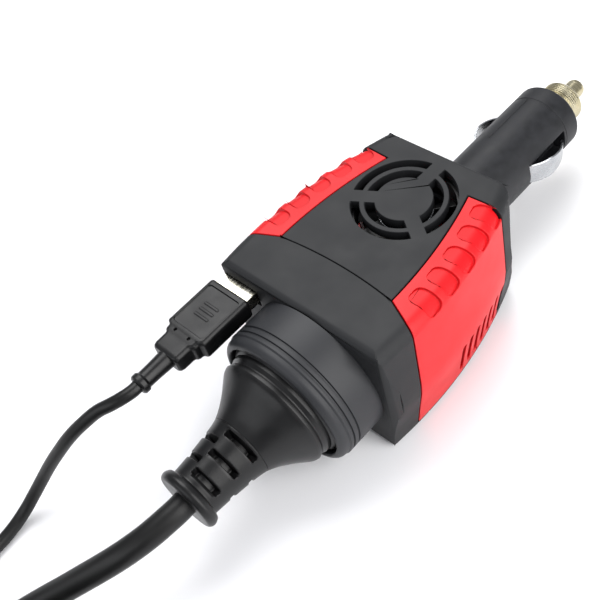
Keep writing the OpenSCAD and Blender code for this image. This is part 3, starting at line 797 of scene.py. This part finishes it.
@dataclass
class Cord:
    """A round cord that runs along a route, through a coil and into its far end.

    Attributes:
        name: Name of the piece.
        diameter: Its thickness in millimetres.
        route: Points from the strain relief to the coil.
        coil: The coil that holds most of its length.
        tail: Points from the coil into what is on its end.
        far_end: Kind of what is on its end. Not used.
        body: The CAD body it rides on.
        replaces: The CAD nodes that it stands for.
    """

    name: str
    diameter: float
    route: Sequence[Place]
    coil: Coil
    tail: Sequence[Place]
    far_end: str
    body: Body
    replaces: Sequence[str]
    obj: bpy.types.Object = field(init=False)
    length: float = field(init=False)

    def build(self) -> None:
        """Makes the cord as a bevelled curve."""
        spots = [*self.route, *self.coil.points(), *self.tail]
        curve = bpy.data.curves.new(self.name, "CURVE")
        curve.dimensions = "3D"
        curve.bevel_depth = self.diameter / 2 * MM
        curve.bevel_resolution = 5
        curve.resolution_u = 4
        curve.use_fill_caps = True
        line = curve.splines.new("BEZIER")
        line.bezier_points.add(len(spots) - 1)
        for knot, spot in zip(line.bezier_points, spots):
            knot.co = Vector(spot) * MM
            knot.handle_left_type = knot.handle_right_type = "AUTO"
        curve.materials.append(CORD_PVC.build())
        self.obj = linked(self.name, curve)
        bpy.context.view_layer.update()
        self.length = line.calc_length()
        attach(self.obj, self.body.value)
        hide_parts(*self.replaces)

    def declare(self, with_pieces: Sequence[bpy.types.Object | str]) -> None:
        """Takes what is on the cord and does nothing with it."""


def stowed(tie: str, end: str, body: Body, edge: float) -> list[bpy.types.Object]:
    """Makes what holds a coil and what is on its cord's end.

    Args:
        tie: CAD node of the tie.
        end: CAD node of the plug or connector.
        body: The CAD body they ride on.
        edge: Width of the rounding on their edges.

    Returns:
        The two pieces.
    """
    return [
        make_piece(f"{node}_piece", softened_copy(node), finish, body, [node], edge=edge)
        for node, finish, slot in ((tie, STRAP, Slot.TIE), (end, PLUG_PVC, Slot.PLUG))
    ]


# ---- Sub-assemblies ----

ACROSS_X = Matrix(((0, 0, 1, 0), (1, 0, 0, 0), (0, 1, 0, 0), (0, 0, 0, 1)))


@dataclass
class Case:
    """Two charcoal half-shells with a front cap and two red side grips.

    Attributes:
        side_arc: Radius of the long arc that each side follows.
        arc_x: How far that arc's centre lies past the mid-plane.
        widest: Where the case is widest, along Y.
        pockets: Finger pockets in each grip.
        pitch: Their spacing along the arc.
        first: Where the first one is, from the widest place.
        pocket_in: How far a pocket's middle lies inside the long arc.
        pocket_z: Height of a pocket's middle.
        ramp: How far a pocket's floor rises towards its front.
    """

    side_arc: float = 140.0
    arc_x: float = 110.1
    widest: float = -39.0
    pockets: int = 5
    pitch: float = 7.8
    first: float = 4.3
    pocket_in: float = 2.83
    pocket_z: float = 41.37
    ramp: float = 0.6

    def build(self) -> None:
        """Makes the case's outside."""
        for node in ("top_shell", "bottom_shell", "front_cap"):
            make_piece(f"{node}_moulding", softened_copy(node), CASE_ABS, Body.HOUSING,
                       [node], edge=0.22)
        for side, sign in (("left", -1), ("right", 1)):
            node = f"side_grip_{side}"
            grip = softened_copy(node)
            for i in range(self.pockets):
                self.ramp_pocket(grip, sign, (self.first + i * self.pitch) / self.side_arc)
            make_piece(f"{node}_moulding", grip, GRIP_ABS, Body.HOUSING,
                       [node], edge=0.2)
        dress("case_screws", SCREW_ZINC)

    def ramp_pocket(self, grip: bmesh.types.BMesh, sign: int, turn: float) -> None:
        """Lets a finger pocket fade out towards the front, so that only its rear is deep.

        Args:
            grip: Mesh of the grip.
            sign: 1 on the right and -1 on the left.
            turn: Where the pocket is along the side's arc, in radians.
        """
        bmesh.ops.recalc_face_normals(grip, faces=grip.faces)
        grip.faces.ensure_lookup_table()
        reach = self.side_arc - self.pocket_in
        spot = Vector((sign * (reach * math.cos(turn) - self.arc_x),
                       self.widest + reach * math.sin(turn), self.pocket_z))
        floor = {grip.faces[BVHTree.FromBMesh(grip).find_nearest(spot)[2]]}
        waiting = list(floor)
        while waiting:
            for edge in waiting.pop().edges:
                if not edge.is_manifold or edge.calc_face_angle() > 0.6:
                    continue
                fresh = set(edge.link_faces) - floor
                floor |= fresh
                waiting += fresh
        verts = {v for face in floor for v in face.verts}
        front, rear = min(v.co.y for v in verts), max(v.co.y for v in verts)
        if rear - front > 1.5 * self.pitch:
            log.warning("pocket at %.3f rad isn't bounded", turn)
            return
        for v in verts:
            out = sum((f.normal * f.calc_area() for f in v.link_faces if f in floor), Vector())
            v.co += out.normalized() * self.ramp * (rear - v.co.y) / (rear - front)


@dataclass
class MainsSocket:
    """Round socket whose deep collar takes a plug with two pins."""

    x: float = 4.2
    z: float = 22.0
    rim: float = -70.0
    radius: float = 20.9
    recess: float = 18.2

    def build(self) -> None:
        """Makes the collar and finishes what is inside it."""
        self.collar()
        dress("socket_insert", CASE_ABS)
        dress("socket_contacts", CONTACT_BRASS)
        dress("socket_leads", LEAD_SILICONE)

    def collar(self) -> None:
        """Turns the collar: a wide round lip, two fine grooves and a plain skirt."""
        r, rim = self.radius, self.rim
        outside: list[tuple[float, float, float]] = [
            (self.recess, rim + 19, 0), (self.recess, rim + 1.1, 0), (self.recess, rim + 0.02, 0.6),
            (r - 0.42, rim + 0.02, 2.0), (r - 0.42, rim + 2.75, 0.12), (r - 0.02, rim + 3.1, 0.15),
        ]
        for groove in (3.9, 5.7):
            low, high = rim + groove, rim + groove + 0.7
            outside += [(r - 0.02, low, 0.12), (r - 0.5, low + 0.12, 0.1),
                        (r - 0.5, high - 0.12, 0.1), (r - 0.02, high, 0.12)]
        outside += [(r - 0.02, rim + 14.98, 0), (r - 1, rim + 14.98, 0), (r - 1, rim + 19, 0)]
        make_piece("socket_collar_turned", turned(filleted(outside), self.x, self.z, 160),
                   COLLAR_ABS, Body.HOUSING, ["socket_collar"], smooth_to=50)


@dataclass
class MainsLead:
    """Cord with a round two-pin plug and a slotted strain relief."""

    x: float = 4.2
    z: float = 22.0
    diameter: float = 6.8
    seam: float = -84.8
    end: float = -104.5
    slot_sweep: float = 72

    def build(self) -> None:
        """Makes the cord first, then what is on it."""
        cord = self.cord()
        cord.build()
        pieces = [self.plug(), self.relief(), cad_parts["ac_plug_pins"]]
        dress("ac_plug_pins", NOSE_NICKEL)
        cord.declare(pieces + stowed("mains_tie", "appliance_connector", Body.MAINS_LEAD, 0.35))

    def cord(self) -> Cord:
        """The cord: down to the floor, round its coil and up to the appliance connector."""
        inner, outer = 30.6, 37.4
        coil = Coil(
            centre=(14.6, -188), start=180, window=75,
            places=[(outer, 3.4), (inner, 3.4), (inner, 10.2), (outer, 10.2), (outer, 17.0),
                    (inner, 17.0), (inner, 23.8)],
        )
        return Cord(
            name="mains_flex", diameter=self.diameter, coil=coil,
            route=[
                (4.2, -104.5, 22), (4.2, -107, 22), (3.8, -110.5, 21.8), (2.9, -115, 21.1),
                (1.4, -119.5, 20), (-0.6, -124, 18.6), (-3.2, -128.5, 16.7), (-6.2, -133, 14.4),
                (-9.4, -137.5, 11.8), (-12.6, -142, 9.4), (-15.5, -146.5, 7.3),
                (-17.9, -151, 5.7), (-19.8, -155.5, 4.6), (-21.2, -160, 3.8),
                (-22.2, -164.5, 3.4), (-22.8, -171, 3.4),
            ],
            tail=coil.lead_out(27.2, 25.3, 5), far_end="connector", body=Body.MAINS_LEAD,
            replaces=["mains_cord", "mains_coil"],
        )

    def plug(self) -> bpy.types.Object:
        """Turns the plug's body: a flared bell, a finger groove and a straight skirt."""
        bell = flowing([(9.12, -84.8), (10.1, -82.7), (11.5, -80.4), (13.05, -78.2),
                        (14.7, -76.2), (15.9, -74.6), (16.35, -73.4)], 4)
        skirt = filleted([(16.35, -73.4, 0), (15.85, -72.0, 0.8), (16.4, -70.9, 0.5),
                          (16.5, -69.7, 0.3), (17.68, -68.6, 0.5), (17.68, -52.8, 0.6),
                          (0, -52.8, 0)])
        return make_piece("ac_plug_moulding", turned([(0, self.seam), *bell, *skirt[1:]],
                                                     self.x, self.z, 128),
                          PLUG_PVC, Body.MAINS_LEAD, ["ac_plug_body"],
                          smooth_to=60)

    def relief(self) -> bpy.types.Object:
        """Turns the strain relief and cuts its staggered slots, one set in each quadrant."""
        end = self.end
        waist = flowing([(7.12, end + 3.4), (7.3, end + 6), (7.6, end + 9.5), (8.05, end + 13.5),
                         (8.6, end + 17.5), (9.1, self.seam)], 4)
        bead = filleted([(0, end, 0), (8.4, end, 1.2), (8.98, end + 1.6, 1.4),
                         (8.3, end + 3.1, 0.9), (7.12, end + 3.4, 0)])
        body = turned([*bead[:-1], *waist, (0, self.seam)], self.x, self.z, 128)
        rows = {22: (-86.5, -92.3, -98.2), 95: (-89.6, -95.4)}
        slots = merged(
            self.slot(y, start + turn)
            for start, ys in rows.items() for turn in (0, 180) for y in ys
        )
        return make_piece("ac_strain_relief_moulding", carved(body, slots), PLUG_PVC,
                          Body.MAINS_LEAD, ["ac_strain_relief"], edge=0.18)

    def slot(self, y: float, start: float) -> bmesh.types.BMesh:
        """Tool for one slot with round ends, which runs part of the way round the relief.

        Args:
            y: Middle of the slot along the plug.
            start: Angle where it starts, from +X towards +Z, in degrees.

        Returns:
            The tool.
        """
        bm = bmesh.new()
        inner, outer, half = 4.6, 12.0, 0.9
        corners = [bm.verts.new((r, y + w, 0)) for r, w in
                   ((inner, -half), (outer, -half), (outer, half), (inner, half))]
        face = bm.faces.new(corners)
        bmesh.ops.spin(bm, geom=[face, *face.edges, *corners], cent=(0, 0, 0), axis=(0, 1, 0),
                       dvec=(0, 0, 0), angle=-math.radians(self.slot_sweep), steps=18,
                       use_duplicate=False)
        bmesh.ops.recalc_face_normals(bm, faces=bm.faces)
        ends = [e for e in bm.edges if e.is_manifold and e.calc_face_angle() > 1.2
                and abs((e.verts[0].co - e.verts[1].co).length - (outer - inner)) < 0.01]
        bmesh.ops.bevel(bm, geom=ends, offset=0.85, offset_type="OFFSET", affect="EDGES",
                        segments=4, profile=0.5, material=-1)
        bm.transform(Matrix.Translation((self.x, 0, self.z))
                     @ Matrix.Rotation(-math.radians(start), 4, "Y"))
        return bm


@dataclass
class UsbLead:
    """Thin cord with a USB plug in the case and a small plug at its far end."""

    x: float = -21.0
    z: float = 35.6
    diameter: float = 3.6

    def build(self) -> None:
        """Makes the cord first, then what is on it."""
        cord = self.cord()
        cord.build()
        pieces = [self.grip(), self.relief(),
                  *stowed("usb_tie", "device_plug", Body.USB_LEAD, 0.25)]
        self.shell()
        dress("usb_plug_insulator", USB_PBT)
        cord.declare(pieces)

    def cord(self) -> Cord:
        """The cord: down to the floor, round its coil and up to the device plug."""
        inner, outer = 19.8, 23.4
        coil = Coil(
            centre=(-17.8, -275.5), start=180, window=75,
            places=[(outer, 1.8), (inner, 1.8), (inner, 5.4), (outer, 5.4), (outer, 9.0),
                    (inner, 9.0), (inner, 12.6)],
        )
        return Cord(
            name="usb_flex", diameter=self.diameter, coil=coil,
            route=[
                (-21, -92.4, 35.6), (-21, -94, 35.6), (-21.7, -97, 35.5), (-23.2, -100, 34.9),
                (-25.5, -103, 33.6), (-28, -107, 31), (-31, -111.4, 27), (-34, -115.4, 22),
                (-37, -119.2, 16.6), (-39.4, -123, 11.4), (-41, -127.4, 6.8),
                (-41.6, -132, 3.6), (-41.2, -138, 2), (-40.6, -146, 1.8), (-40, -156, 1.8),
                (-39.6, -168, 1.8), (-39.5, -182, 1.8), (-39.7, -197, 1.8),
                (-40.2, -212, 1.8), (-40.8, -228, 1.8), (-41.1, -244, 1.8),
                (-41.2, -260, 1.8),
            ],
            tail=coil.lead_out(14.4, 13.9, 4), far_end="plug", body=Body.USB_LEAD,
            replaces=["usb_cord", "usb_coil"],
        )

    def grip(self) -> bpy.types.Object:
        """Lofts the overmould, sinks a panel in its top and sets grip bars in it."""
        sections = (
            (-82.4, 8.2, 5.0, 1.3), (-81.9, 9.2, 5.8, 1.5), (-81.0, 9.6, 6.1, 1.5),
            (-77.9, 9.7, 6.1, 1.5), (-77.2, 10.0, 6.15, 1.5), (-76.8, 11.2, 6.2, 1.5),
            (-76.3, 11.6, 6.3, 1.5), (-75.4, 11.7, 6.4, 1.5), (-75.0, 12.4, 6.5, 1.5),
            (-74.6, 14.0, 6.6, 1.5), (-74.1, 14.4, 6.6, 1.5), (-59.2, 14.4, 6.6, 1.5),
            (-58.6, 14.1, 6.3, 1.4), (-58.4, 13.5, 5.7, 1.2),
        )
        stations = [(y, rounded_rect(width, height, corner))
                    for y, width, height, corner in sections]
        body = lofted(stations, (self.x, self.z))
        top = self.z + 3.3
        panel = prism(rounded_rect(11.6, 13.6, 0.9), top - 0.4, top + 1,
                      Matrix.Translation((self.x, -67.0, 0)))
        body = carved(body, panel)
        bars = merged(
            prism(rounded_rect(5.2, 0.75, 0.35, 4), top - 0.8, top - 0.12,
                  Matrix.Translation((self.x, y, 0))) for y in (-68.9, -67.0, -65.1)
        )
        body = carved(body, bars, "UNION")
        dimples = merged(
            prism(rounded_rect(0.9, 0.9, 0.44, 4), top - 0.9, top + 1,
                  Matrix.Translation((self.x + u, -75.7, 0))) for u in (-2.6, 2.6)
        )
        return make_piece("usb_grip_moulding", carved(body, dimples), PLUG_PVC,
                          Body.USB_LEAD, ["usb_plug_grip"], edge=0.15)

    def relief(self) -> bpy.types.Object:
        """Turns the short ringed strain relief."""
        profile = filleted([(0, -92.4, 0), (2.35, -92.4, 0.3), (2.88, -91.9, 0.4),
                            (2.88, -90.6, 0.4), (2.4, -90.0, 0.3), (2.45, -87, 0.5),
                            (2.68, -82.0, 0), (0, -82.0, 0)])
        return make_piece("usb_relief_moulding", turned(profile, self.x, self.z, 64),
                          PLUG_PVC, Body.USB_LEAD, ["usb_strain_relief"])

    def shell(self) -> None:
        """Copies the folded steel shell and softens its edges."""
        make_piece("usb_shell_drawn", softened_copy("usb_plug_shell"), USB_STEEL,
                   Body.USB_LEAD, ["usb_plug_shell"], edge=0.1)


@dataclass
class VehiclePlug:
    """Barrel with two bowed earth springs and a sprung centre contact at its nose."""

    z: float = 20.8
    radius: float = 10.4
    free_end: float = 54.0

    def build(self) -> None:
        """Makes the barrel and all that sits in it."""
        self.barrel()
        self.nose()
        self.contact()
        for side, body in ((-1, Body.SPRING_LEFT), (1, Body.SPRING_RIGHT)):
            self.spring(side, body)
        dress("fuse", ClearTube("clear_fuse_glass", "#B9BDB9", 0.12, cap_to=29.9, cap_from=43.9))
        dress("contact_spring", SPRING_WIRE)

    def barrel(self) -> None:
        """Turns the barrel and cuts a window through each side."""
        r, back = self.radius, 0.4
        profile = filleted([
            (4.6, back, 0), (r + 1, back, 0), (r + 1, 2.9, 0), (r - 1.3, 2.9, 0),
            (r - 1.3, 6.05, 0), (r - 0.02, 6.05, 0.3), (r - 0.02, 47.3, 0.12),
            (r - 0.2, 47.45, 0.1), (r - 0.2, 47.75, 0.1), (r - 0.02, 47.9, 0.12),
            (r - 0.02, 54, 1.2), (6.2, 54, 0.2), (6.2, 50.9, 0), (4.6, 50.9, 0),
        ])
        windows = merged(
            prism([(6.4 * s, 29.5), (12 * s, 29.5), (12 * s, 46.8), (6.4 * s, 46.8)],
                  self.z - 3.5, self.z + 3.5) for s in (-1, 1)
        )
        line = prism(rounded_rect(0.4, 19, 0.19, 3), self.z + r - 0.12, self.z + r + 2,
                     Matrix.Translation((0, 37.5, 0)))
        line.transform(Matrix.Translation((0, 0, self.z)) @ Matrix.Rotation(-0.28, 4, "Y")
                       @ Matrix.Translation((0, 0, -self.z)))
        body = carved(turned(profile, 0, self.z, 128), merged([windows, line]))
        make_piece("plug_barrel_moulding", body, BARREL_ABS, Body.HOUSING,
                   ["plug_barrel"], edge=0.15)

    def nose(self) -> None:
        """Turns the nose ring, whose thread is a row of plain ridges."""
        y = self.free_end
        outside: list[tuple[float, float, float]] = [
            (3.08, y - 3, 0), (6.1, y - 3, 0), (6.1, y + 0.02, 0), (7.98, y + 0.02, 0.25),
            (7.98, y + 1.5, 0.25), (7.2, y + 2.1, 0.3), (6.6, y + 2.5, 0.2),
        ]
        for i in range(6):
            at = y + 2.75 + i * 0.72
            outside += [(6.58, at, 0.06), (6.22, at + 0.3, 0.08), (6.58, at + 0.6, 0.06)]
        outside += [(6.5, y + 7.3, 0.2), (5.6, y + 8.38, 0.5), (3.9, y + 8.38, 0.3),
                    (3.08, y + 7.9, 0)]
        make_piece("nose_ring_turned", turned(filleted(outside), 0, self.z, 128),
                   NOSE_NICKEL, Body.HOUSING, ["nose_ring"], smooth_to=50)

    def contact(self) -> None:
        """Turns the centre contact with its round tip."""
        profile = filleted([(0, 49.4, 0), (4.28, 49.4, 0.2), (4.28, 50.6, 0.2), (2.98, 50.6, 0),
                            (2.98, 67.6, 0.4), (2.7, 68.6, 0.8), (1.6, 69.7, 1.2), (0, 69.98, 0)])
        make_piece("centre_contact_turned", turned(profile, 0, self.z, 96), NOSE_NICKEL,
                   Body.CONTACT, ["centre_contact"], smooth_to=50)

    def spring(self, side: int, body: Body) -> None:
        """Bends one earth spring: wide at its curled root, narrow at its free end.

        Args:
            side: 1 on the right and -1 on the left.
            body: The CAD body it rides on.
        """
        name = "right" if side > 0 else "left"
        centre, lean = (1.947, 38.05), 47.15
        outline = [*arc(centre, 11.253, -lean, lean - 2, 28),
                   *arc(centre, 10.653, lean - 2, -lean, 28)]
        strip = prism([(u * side, v) for u, v in outline], self.z - 3.3, self.z + 3.3)
        taper = prism(
            filleted([(29.0, -3.28, 0), (36.5, -3.28, 6), (43.5, -1.7, 4), (46.6, -0.75, 0.6),
                      (46.6, 0.75, 0.6), (43.5, 1.7, 4), (36.5, 3.28, 6), (29.0, 3.28, 0)], True),
            4, 14, Matrix.Translation((0, 0, self.z)) @ ACROSS_X,
        )
        if side < 0:
            bmesh.ops.scale(taper, vec=(-1, 1, 1), verts=taper.verts)
            bmesh.ops.recalc_face_normals(taper, faces=taper.faces)
        curl = prism(arc((9.0 * side, 30.2), 0.65, 0, 345, 23), self.z - 3.28, self.z + 3.28)
        bent = carved(strip, taper, "INTERSECT")
        make_piece(f"earth_spring_{name}_leaf", merged([bent, curl]), SPRING_CHROME,
                   body, [f"earth_spring_{name}"], edge=0.1)


@dataclass
class Fan:
    """Small axial fan under the grille."""

    y: float = -12.0
    foot: float = 34.4
    blades: int = 7

    def build(self) -> None:
        """Makes the rotor and finishes the frame."""
        dress("fan_frame", FAN_NYLON)
        hub = self.turned_up([(0, 37.9), (0, 38.35), (6.6, 38.35), (7.0, 38.2), (7.0, 37.4),
                              (7.58, 37.4), (7.58, 34.42), (6.8, 34.42), (6.8, 37.9)])
        blades = merged(self.blade(i) for i in range(self.blades))
        shaft = self.turned_up([(0, 34.42), (0.98, 34.42), (0.98, 38.1), (0, 38.1)])
        make_piece("fan_rotor_nylon", merged([hub, blades, shaft]), FAN_NYLON, Body.FAN,
                   ["fan_rotor"], edge=0.08)
        rim = filleted([(7.0, 37.45, 0), (7.58, 37.45, 0), (7.58, 38.78, 0.25),
                        (7.0, 38.78, 0.2)], False)
        make_piece("fan_rotor_cup", self.turned_up(rim), ROTOR_STEEL, Body.FAN,
                   ["fan_rotor"])

    def turned_up(self, profile: Sequence[Point]) -> bmesh.types.BMesh:
        """Solid of revolution about the fan's upright axis, from (radius, z) points."""
        bm = turned(profile, 0, 0, 72)
        bm.transform(Matrix.Translation((0, self.y, 0)) @ ALONG_Y)
        bmesh.ops.recalc_face_normals(bm, faces=bm.faces)
        return bm

    def blade(self, number: int) -> bmesh.types.BMesh:
        """Lofts one blade, which is steeper at the hub than at its tip."""
        stations = []
        for i in range(7):
            radius = 7.3 + i * 0.94
            pitch = math.radians(40 - i * 2.2)
            upper = [(u, 0.45 * (1 - (u / 3) ** 2) + 0.26) for u in (3, 1.5, 0, -1.5, -3)]
            lower = [(u, 0.45 * (1 - (u / 3) ** 2) - 0.26) for u in (-3, -1.5, 0, 1.5, 3)]
            spin = Matrix.Rotation(pitch, 2)
            stations.append((radius, [tuple(spin @ Vector(p)) for p in upper + lower]))
        bm = lofted(stations, (0, 36.6))
        turn = Matrix.Rotation(FULL_TURN * number / self.blades - FULL_TURN / 4, 4, "Z")
        bm.transform(Matrix.Translation((0, self.y, 0)) @ turn)
        return bm


@dataclass
class Electronics:
    """What is inside the case, in its own shapes with real finishes."""

    finishes: dict[str, Finish] = field(default_factory=lambda: {
        "usb_port": USB_STEEL, "usb_tongue": USB_PBT, "usb_board": BOARD, "main_board": BOARD,
        "transformer_core": FERRITE, "transformer_winding": WINDING,
        "heatsink": SINK_ALUMINIUM, "power_transistors": EPOXY, "capacitors": CAP_SLEEVE,
        "input_leads": LEAD_SILICONE,
    })

    def build(self) -> None:
        """Dresses every node."""
        for node, finish in self.finishes.items():
            dress(node, finish)


def main() -> None:
    """Builds the scene."""
    logging.basicConfig(level=logging.INFO, format="%(message)s")
    Studio().build()
    MainsLead().build()
    UsbLead().build()
    Case().build()
    MainsSocket().build()
    VehiclePlug().build()
    Fan().build()
    Electronics().build()


if __name__ == "__main__":
    main()
